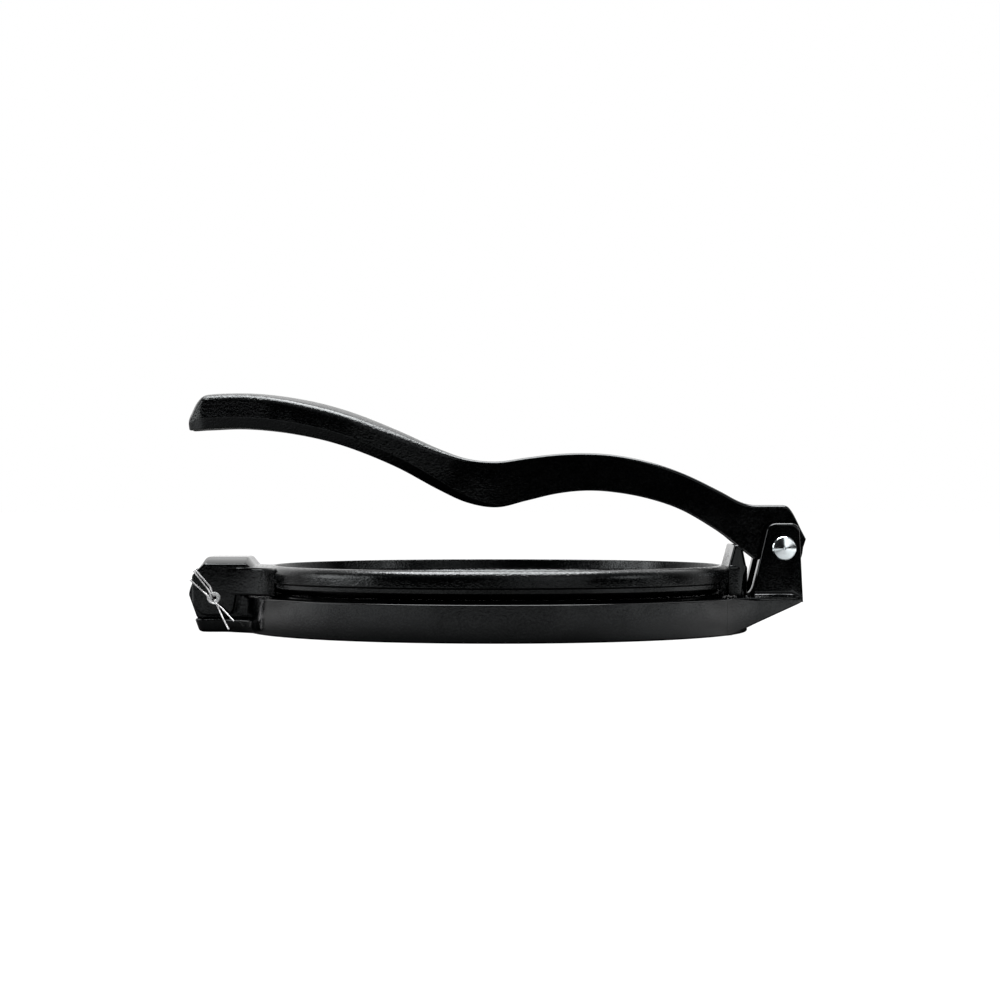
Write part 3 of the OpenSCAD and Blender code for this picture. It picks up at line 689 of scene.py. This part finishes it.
# %% Ears, knuckle and the finished base
ear = [
    (94, 11.5, 0), (94, BASE_H - 0.3, 0), (101.9, BASE_H - 0.1, 6), (108.9, EAR_TOP, 4),
    (121.4, EAR_TOP, 3.5), (TOE_X, 11.8, 0),
]


def drafted(points):
    """Leans an ear towards the middle: y is 0.09 percent less for each mm above the nose. Its outer face
    leans by 0.9 degrees, like a casting that has to leave its mould, and its inner face by 0.5."""
    points[..., 1] *= 1 - 0.0009 * np.clip(points[..., 2] - BASE_H, 0, None)
    return points


ears = [slab(ear, side - 4, side + 4, 1.1, lower=drafted) for side in (-EAR_IN - 4, EAR_IN + 4)]


def bar(x, z, radius, half, edge, segments=128):
    """A round bar along Y, centred on x and z, with rounded ends."""
    corners = [(0, -half, 0), (radius, -half, edge), (radius, half, edge), (0, half, 0)]
    return turned(corners, (x, z), segments)


def lug(radius, half, edge):
    """The knuckle's outline, a circle cut by the slanted end, carried between its two sides."""
    a = np.linspace(0, 2 * np.pi, 97)[:-1]
    x, z = HINGE_X + radius * np.cos(a), HINGE_Z + radius * np.sin(a)
    return slab(np.stack([np.maximum(x, end_x(z)), z, 0 * a], 1), -half, half, edge)


def ear_fillets(reach=2.7, steps=7):
    """The hollow where each ear's outer face runs into the nose's top: at each x an arc of radius reach,
    or of the ledge's width where that is less."""
    x = np.linspace(ear[2][0] + 1.5, TOE_X - 0.7, 16)[:, None]
    ledge = np.interp(x, np.r_[nose_side[:, 0], TOE_X], np.r_[nose_side[:, 1], EAR_OUT]) - EAR_OUT
    r = np.clip(np.minimum(reach, ledge - 0.4), 0.15, None)
    a = np.linspace(0, np.pi / 2, steps)
    out, up = EAR_OUT + r * (1 - np.sin(a)), BASE_H + r * (1 - np.cos(a))
    y = np.concatenate([0 * x + EAR_OUT - 1, out, 0 * x + EAR_OUT - 1], 1)
    z = np.concatenate([0 * x + BASE_H - 1, up, r + BASE_H], 1)
    y[:, 1], z[:, 1] = (EAR_OUT + r)[:, 0], BASE_H - 0.3
    ring = np.stack([np.broadcast_to(x, y.shape), y, z], -1)
    return [solid(ring), solid(ring * (1, -1, 1))]


web_side = [(HINGE_X, 3, 0), (-89.5, 3, 0), (-89.5, 13.9, 0), (HINGE_X, 13.9, 0)]
web = slab(web_side, -KNUCKLE_HALF, KNUCKLE_HALF, 0.6)
join(
    "base_casting",
    [disc, nose, foot, web, lug(KNUCKLE_R, KNUCKLE_HALF, 0.8), *ears, *ear_fillets()],
    [
        hollow_underside,
        bar(HINGE_X, HINGE_Z, KNUCKLE_BORE, 15, 0.01),
        bar(PIVOT_X, PIVOT_Z, EAR_BORE, 25, 0.01),
    ],
    base_iron, "stand", "black_iron", "base",
)

# %% [markdown]
# ## The top plate
# The second casting is a shallow dish. Its rim ends in a thick rounded bead, whose top catches a bright
# line, and a thinner wall shows under the bead. On the left a block with a domed top reaches over the
# knuckle, and its two cheeks hold the hinge pin. On the right a short tongue carries the ridge that the
# lever presses on.

# %% Dish
dish = turned([
    (0, 15.6, 0), (89.6, 15.6, 0.6), (91.4, 17.8, 0.3), (94.02, 17.8, 0.3), (94.12, 19.5, 0.3),
    (94.5, 20.2, 0.6), (94.25, 26.5, 3.7), (90.2, 26.5, 0.5), (89.1, 20.6, 3.2), (0, 20.6, 0),
])
print("dish", len(dish.data.polygons), "faces")

# %% Hinge block and its flare
BRIDGE_TOP = 29.9


def domed(points):
    """Lowers the block's top towards both sides, by 2.7 mm times the square of the way from |y| = 8.5
    out. The move fades to nothing 7 mm below the top."""
    out = np.clip((np.abs(points[..., 1]) - 8.5) / 12, 0, 1) ** 2
    near_top = np.clip((points[..., 2] - (BRIDGE_TOP - 7)) / 7, 0, 1)
    points[..., 2] -= 2.7 * out * near_top
    return points


block = slab(
    [
        (-121.7, 6.5, 6), (-105.5, 6.5, 3.5), (-104.1, 15.2, 1), (-93.2, 15.2, 0.5), (-93.2, 18.3, 0),
        (-91, 18.3, 0), (-91, 25.8, 0),
        (-97.8, 26.5, 0.8), (-100.5, BRIDGE_TOP, 1.4), (-117.1, BRIDGE_TOP, 2), (-122.1, 22.4, 2),
    ],
    -CHEEK_OUT, CHEEK_OUT, 0.9, middle=22, lower=domed,
)
side = bend_in((-108.5, 20.5), (-93.6, 20.5), (-87.6, 35.4), 20)
a = np.radians(np.linspace(20, -20, 21))
flare_plan = np.r_[side, np.stack([-91.8 * np.cos(a), 91.8 * np.sin(a)], 1), side[::-1] * (1, -1)]

flares = less(
    slab(np.c_[flare_plan, 0 * flare_plan[:, 0]], 14.5, 25.9, 1.1, upright=False, steps=6),
    turned([(0, 14, 0), (93.2, 14, 0), (93.2, 17.9, 0), (0, 17.9, 0)]),
)
print("hinge block", len(block.data.polygons), "faces, its flares", len(flares.data.polygons))

# %% Tongue, ridge and the finished plate
a = np.radians(np.linspace(-19, 19, 39))
arc = np.stack([np.cos(a), np.sin(a)], 1)
skirt_plan = np.r_[93.75 * arc, 92.9 * arc[::-1]]
skirt = slab(np.c_[skirt_plan, 0 * skirt_plan[:, 0]], 14.5, 18.4, 0.15, upright=False)
tongue_plan = [(93, -17.3, 0), (101.1, -17.3, 7), (101.1, 17.3, 7), (93, 17.3, 0)]
tongue = less(
    slab(tongue_plan, 12, 27, 1.9, upright=False, steps=6),
    turned([(0, 10, 0), (120, 10, 0), (120, 14.4, 0), (0, 14.4, 0)]),
)


def columned(points):
    """Near the tongue the ridge's two ends follow the tongue's round corners, of radius 7 about (94.1,
    10.3)."""
    x, y, z = points[..., 0], np.abs(points[..., 1]), points[..., 2]
    over_x, over_y = np.clip(x - 94.1, 0, None), np.clip(y - 10.3, 0, None)
    pull = np.minimum(1, (6.9 + 2.2 * ease(21, 27.5, z)) / np.maximum(np.hypot(over_x, over_y), 1e-9))
    points[..., 0] = x - over_x * (1 - pull)
    points[..., 1] = np.sign(points[..., 1]) * (y - over_y * (1 - pull))
    return points


flank = [(mix(100.5, 100.6, t), 20 + 4 * t, 0) for t in (0, 0.33, 0.66)]
flank += [(100.6, 24, 1.2), (100.2, 26, 0), (99.7, 28.4, 0)]
ridge = slab(
    [(92.9, 20, 0), *flank, (98.7, 33.4, 1), (96.9, 34.8, 0.7), (95.3, 34.8, 0.8), (92.9, 25.9, 3)],
    -16.5, 16.5, 1.1, steps=6, middle=26, lower=columned,
)
join(
    "top_plate_casting",
    [dish, block, flares, skirt, tongue, ridge],
    [bar(HINGE_X, HINGE_Z, KNUCKLE_ROOM, CHEEK_IN, 0.5), bar(HINGE_X, HINGE_Z, CHEEK_BORE, 25, 0.01)],
    plate_iron, "upper_plate", "black_iron", "top_plate",
)

# %% [markdown]
# ## The lever
# The third casting is a flat bar that rises from the pivot, arches, dips and swings up into a wider grip
# with a crowned top, a slightly hollow underside and chamfered lower edges. It is a stack of upright
# sections along X. The heights of its top and its underside are smooth curves through a few measured
# places, and the section's own width, crown and edges change slowly along the way.

# %% Side view of the lever
LEVER_REACH = 240.2
# Along the arm: the share of the reach from the pivot, the top's height over the pivot, and the thickness
arm = np.array([
    (1, 53.1, 5.6), (0.9917, 58, 10.4), (0.979, 61.5, 13.6), (0.9625, 62.48, 14.4), (0.921, 62.88, 14.4),
    (0.879, 62.6, 14.6), (0.829, 61.2, 14.7), (0.771, 58.4, 14.8), (0.7127, 54.09, 15), (0.646, 47.61, 15.3),
    (0.5795, 40.41, 16.72), (0.5295, 36.21, 17.93), (0.4796, 35.1, 18.7), (0.4296, 36.7, 17.58),
    (0.3797, 38.09, 16.18), (0.3297, 38.5, 15.3), (0.2798, 37.69, 15.1), (0.2215, 34.9, 14.9),
    (0.1632, 30.09, 14.9),
])
# On the neck: X and the top's height, both from the pivot
neck = np.array([(-25.2, 23.3), (-19, 19.9), (-15, 18.2), (-11, 17.4)])
NOSE_R, NOSE_FRONT, HEEL, SLOPE = 9.8, 8.6, 9.8, math.radians(37.5)


def press_line(x):
    """The flat pressing face under the head: a line that touches the nose's circle, at the given slope."""
    return PIVOT_Z - (NOSE_R + math.sin(SLOPE) * (x - PIVOT_X)) / math.cos(SLOPE)


def through(points, steps=16):
    """A smooth curve through points: between two of them it is a cubic whose slope at each is half the
    way from the point before to the point after."""
    p = np.concatenate([points[:1], points, points[-1:]])[:, None]
    a, b, c, d = p[:-3], p[1:-2], p[2:-1], p[3:]
    t = np.linspace(0, 1, steps, endpoint=False)[:, None]
    curve = (2 * b + (c - a) * t + (2 * a - 5 * b + 4 * c - d) * t**2 + (3 * b - a - 3 * c + d) * t**3) / 2
    return np.concatenate([curve.reshape(-1, points.shape[1]), points[-1:]])


arm_top = PIVOT_Z + arm[:, 1]
arm_rows = np.stack([PIVOT_X - arm[:, 0] * LEVER_REACH, arm_top, arm_top - arm[:, 2]], 1)
neck_x = PIVOT_X + neck[:, 0]
neck_rows = np.stack([neck_x, PIVOT_Z + neck[:, 1], press_line(neck_x)], 1)
curve = through(np.concatenate([arm_rows, neck_rows]))
head_x = np.linspace(PIVOT_X - 10.9, PIVOT_X + HEEL, 200)
over = (head_x - PIVOT_X) / np.where(head_x < PIVOT_X, NOSE_R, NOSE_FRONT)
nose_arc = PIVOT_Z - NOSE_R * np.sqrt(np.maximum(1 - over**2, 0))
nose_arc = np.maximum(nose_arc, PIVOT_Z + np.interp(head_x - PIVOT_X, [7.6, 8.6, HEEL], [-9, 0, 3.5]))
head_low = np.where(head_x < PIVOT_X - NOSE_R * math.sin(SLOPE), press_line(head_x), nose_arc)
head_top = PIVOT_Z + np.interp(head_x - PIVOT_X, [2.1, 3.35, 5.35, 7.35, HEEL], [17.4, 16.35, 13.1, 8.7, 4])
side_view = np.concatenate([curve, np.stack([head_x, head_top, head_low], 1)])
print("lever from", side_view[0].round(1), "to", side_view[-1].round(1))

# %% Sections of the lever
tip_x, heel_x = side_view[0, 0], side_view[-1, 0]
near_end = 1 - np.cos(np.linspace(0, np.pi / 2, 9))
x = np.concatenate([
    tip_x + 1.2 * near_end, np.linspace(tip_x + 1.4, -90, 40), np.linspace(-89, 100, 130),
    np.linspace(100.5, heel_x - 0.7, 60), heel_x - 0.6 * near_end[::-1],
])
blur = np.linspace(-1.2, 1.2, 9)[:, None]
top = np.interp(x + blur * np.clip((heel_x - x) / 2, 0, 1), side_view[:, 0], side_view[:, 1]).mean(0)
low = np.interp(x, side_view[:, 0], side_view[:, 2])
share = (PIVOT_X - x) / LEVER_REACH
grip = ease(0.5, 0.7, share)
under = ease(0.42, 0.62, share)
butt = np.clip((share - 0.974) / 0.026, 0, 1)
half = mix(9, 12, ease(0.5, 0.72, share)) - 4.5 * butt**1.3
height = top - low
drop = np.minimum(mix(0.5, 2.8, grip) * (1 - 0.55 * ease(0.76, 0.93, share)) + 3.2 * butt, height / 2.5)
rise = np.minimum(mix(0.3, 4.4, under), height / 3)
draw = np.minimum(mix(0.3, 2.1, under), half / 2)
soft = np.minimum(mix(0.9, 2.4, grip), height / 6)
corners = [
    (-half, top - drop, soft), (-half, low + rise, soft * 0.3), (draw - half, low, soft * 0.4),
    (half - draw, low, soft * 0.4), (half, low + rise, soft * 0.3), (half, top - drop, soft),
]
CORNER_STEPS = 5
section = rounded(np.stack([np.stack(c, -1) for c in corners], -2), CORNER_STEPS)
hollow_share = np.linspace(-1, 1, 13)[1:-1]
under_y = hollow_share * (half - draw - soft * 0.4)[:, None]
deep = np.minimum(0.9, height / 6)[:, None]
hollowed = np.stack([under_y, low[:, None] + deep * (1 - hollow_share**4)], -1)
halfway = 3 * (CORNER_STEPS + 1)
section = np.concatenate([section[:, :halfway], hollowed, section[:, halfway:]], 1)
across = np.linspace(1, -1, 15)[None, 1:-1] * (half - soft)[:, None]
crest = np.stack([across, np.broadcast_to((top - drop)[:, None], across.shape)], -1)
section = np.concatenate([section, crest], 1)
crowned = section[..., 1] >= (top - drop - soft)[:, None] - 1e-9
bend = mix(6, 2, grip)[:, None]
lift = drop[:, None] * (1 - np.abs(section[..., 0] / half[:, None]) ** bend)
section[..., 1] += np.where(crowned, lift, 0)
print("lever of", section.shape[0], "sections with", section.shape[1], "points each")

# %% The finished lever
end_in = 0.8 * (1 - np.sqrt(np.clip(1 - np.clip(1 - (x - tip_x) / 1.2, 0, 1) ** 2, 0, 1)))[:, None]
end_in = end_in + 0.25 * (1 - np.sqrt(np.clip(1 - np.clip(1 - (heel_x - x) / 0.6, 0, 1) ** 2, 0, 1)))[:, None]
middle = ((top + low) / 2)[:, None]
section[..., 0] *= 1 - end_in / half[:, None]
section[..., 1] = middle + (section[..., 1] - middle) * (1 - end_in / np.maximum(height[:, None] / 2, 0.35))
along = np.broadcast_to(x[:, None, None], (*section.shape[:2], 1))
lever_form = solid(np.concatenate([along, section], -1))
join(
    "lever_casting", [lever_form], [bar(PIVOT_X, PIVOT_Z, LEVER_BORE, 15, 0.01)],
    lever_iron, "handle", "black_iron", "lever",
)

# %% [markdown]
# ## Pins and washer
# The lever turns on a zinc-plated pin. Its near head is a very flat cone with a small mark at the centre,
# so it reflects in sectors that meet there. Its far end is closed over a washer. The hinge pin is a
# rolled tube. All are turned parts, so each is one profile carried round an axis along Y.

# %% Pins and washer
lever_pin = turned([
    (0, -19.35, 0), (0.5, -19.75, 0.1), (0.75, -19.6, 0.1), (4.35, -18.5, 0.6), (4.8, -18.1, 0.3),
    (4.8, -17.55, 0.15), (3, -17.52, 0), (3, 18.5, 0), (4.2, 18.52, 0.2), (4.2, 19.3, 0.5), (2.4, 20.1, 0.6),
    (0.8, 19.9, 0.3), (0, 19.9, 0),
], (PIVOT_X, PIVOT_Z), 128)
join("lever_pin_rivet", [lever_pin], [], zinc, "stand", "zinc_steel", "lever_pin")
ring = [(3.1, 17.5, 0.15), (6, 17.5, 0.25), (6, 18.5, 0.25), (3.1, 18.5, 0.15), (3.1, 17.5, 0)]
washer = turned(ring, (PIVOT_X, PIVOT_Z), 96)
join("lever_pin_flat_washer", [washer], [], zinc, "stand", "zinc_steel", "lever_pin_washer")
TUBE_END = 21.3
tube = [(1.12, -21.1, 0.1), (1.3, -TUBE_END, 0.1), (2.5, -TUBE_END, 0.4), (2.5, TUBE_END, 0.4)]
tube += [(1.3, TUBE_END, 0.1), (1.12, 21.1, 0.1), (1.12, 20.5, 0.1), (1.4, 20.2, 0)]
tube += [(1.4, -20.2, 0), (1.12, -20.5, 0.1), (1.12, -21.1, 0)]
hinge_pin = turned(tube, (HINGE_X, HINGE_Z), 96)
join("hinge_pin_tube", [hinge_pin], [], tube_zinc, "upper_plate", "zinc_steel", "hinge_pin")

# %% [markdown]
# ## The tie wire
# One thin wire goes through the tube three times and round the end of the block, and its two ends hang
# down in front. Its route repeats the CAD model's list of places, less than a millimetre off where it
# crosses the block's end, with each bend rounded. The wire is a small circle carried along that route.
# Its frame is handed on from point to point, so that it never twists.

# %% Route of the wire
WIRE_R, LAY = 0.31, 0.45
SIDE_Y, MOUTH_Y = CHEEK_OUT + LAY, TUBE_END + LAY
OVER_Y, RIM_R, PASS_R = MOUTH_Y + 0.8, 3.0, 0.75
slant_low, slant_high = np.array([-9.0, 8.8]), np.array([-4.0, 16.3])
slant_out = unit(np.array([slant_low[1] - slant_high[1], slant_high[0] - slant_low[0]]))
turn_at = [mix(slant_low, slant_high, t) + LAY * slant_out for t in (0.33, 0.24)] + [np.array([-9.45, 7.22])]
turn_at = [p * max(1, (KNUCKLE_R + LAY) / math.hypot(*p)) for p in turn_at]


def spot(degrees, radius, y):
    """A place at an angle and a distance from the tube's axis, at y along it."""
    a = math.radians(degrees)
    return (radius * math.cos(a), y, radius * math.sin(a))


route = [(6.6, -27.5, -12.2), (3.6, -24.6, -7), (1.5, -MOUTH_Y - 0.2, -RIM_R)]
for k, (rim, bore) in enumerate([(108, 300), (124, 80), (150, 190)]):
    (tx, tz), far, near = turn_at[k], (OVER_Y if k == 0 else MOUTH_Y), (OVER_Y if k == 2 else MOUTH_Y)
    route += [spot(bore, PASS_R, -MOUTH_Y), spot(bore, PASS_R, 1.6 - MOUTH_Y)]
    route += [spot(bore, PASS_R, MOUTH_Y - 1.6), spot(bore, PASS_R, far), spot(rim, RIM_R, far)]
    route += [spot(rim, RIM_R + 1.8, SIDE_Y + 0.1), (tx * 0.985, SIDE_Y, tz * 0.985), (tx, SIDE_Y - 0.2, tz)]
    route += [(tx, 0, tz), (tx, 0.2 - SIDE_Y, tz), (tx * 0.985, -SIDE_Y, tz * 0.985)]
    route += [spot(rim, RIM_R + 1.8, -SIDE_Y - 0.1), spot(rim, RIM_R, -near)]
route += [spot(205, 2.3, -OVER_Y), spot(250, 2.2, -OVER_Y), (1.2, -OVER_Y, -2.3), (3.2, -OVER_Y - 0.6, -3.7)]
route += [(6, -25.2, -6.4), (8.6, -27, -8.9)]
route = np.array(route)
route_length = np.linalg.norm(np.diff(route, axis=0), axis=1).sum()
print("route of", len(route), "places,", route_length.round(0), "mm long")


# %% The finished wire
def softened(points, reach=0.9, steps=5):
    """Each bend becomes a parabola that starts and ends on its two legs, at most reach from the corner
    and at most 0.45 of the leg."""
    before, at, after = points[:-2], points[1:-1], points[2:]
    leg_in = np.linalg.norm(at - before, axis=1, keepdims=True)
    leg_out = np.linalg.norm(after - at, axis=1, keepdims=True)
    p = at + (before - at) * np.minimum(reach / leg_in, 0.45)
    q = at + (after - at) * np.minimum(reach / leg_out, 0.45)
    t = np.linspace(0, 1, steps)[:, None]
    bends = p[:, None] * (1 - t) ** 2 + 2 * at[:, None] * t * (1 - t) + q[:, None] * t**2
    return np.concatenate([points[:1], bends.reshape(-1, 3), points[-1:]])


def tube_along(path, radius, sides=12):
    """Circles of one radius across a path. Each frame is the last one, less what points along the path."""
    ways = unit(np.concatenate([path[1:2] - path[:1], path[2:] - path[:-2], path[-1:] - path[-2:-1]]))
    frames = [unit(np.cross(ways[0], (0, 1, 0)))]
    for way in ways[1:]:
        frames.append(unit(frames[-1] - way * (frames[-1] @ way)))
    u = np.array(frames)[:, None]
    v = np.cross(ways[:, None], u)
    a = (np.arange(sides) * 2 * np.pi / sides)[None, :, None]
    return path[:, None] + radius * (u * np.cos(a) + v * np.sin(a))


path = softened(route) + (HINGE_X, 0, HINGE_Z)
join("tie_wire_strand", [solid(tube_along(path, WIRE_R))], [], wire, "upper_plate", "tie_steel", "tie_wire")

# %% [markdown]
# ## Sizes
# Both boxes, the CAD model's and the dressed model's, are written to extents.json.

# %% Sizes, and the end
json.dump({"cad": [list(p) for p in cad_box], "visual": [list(p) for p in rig.bounds()]}, open("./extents.json", "w"))
print("sizes", open("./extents.json").read())
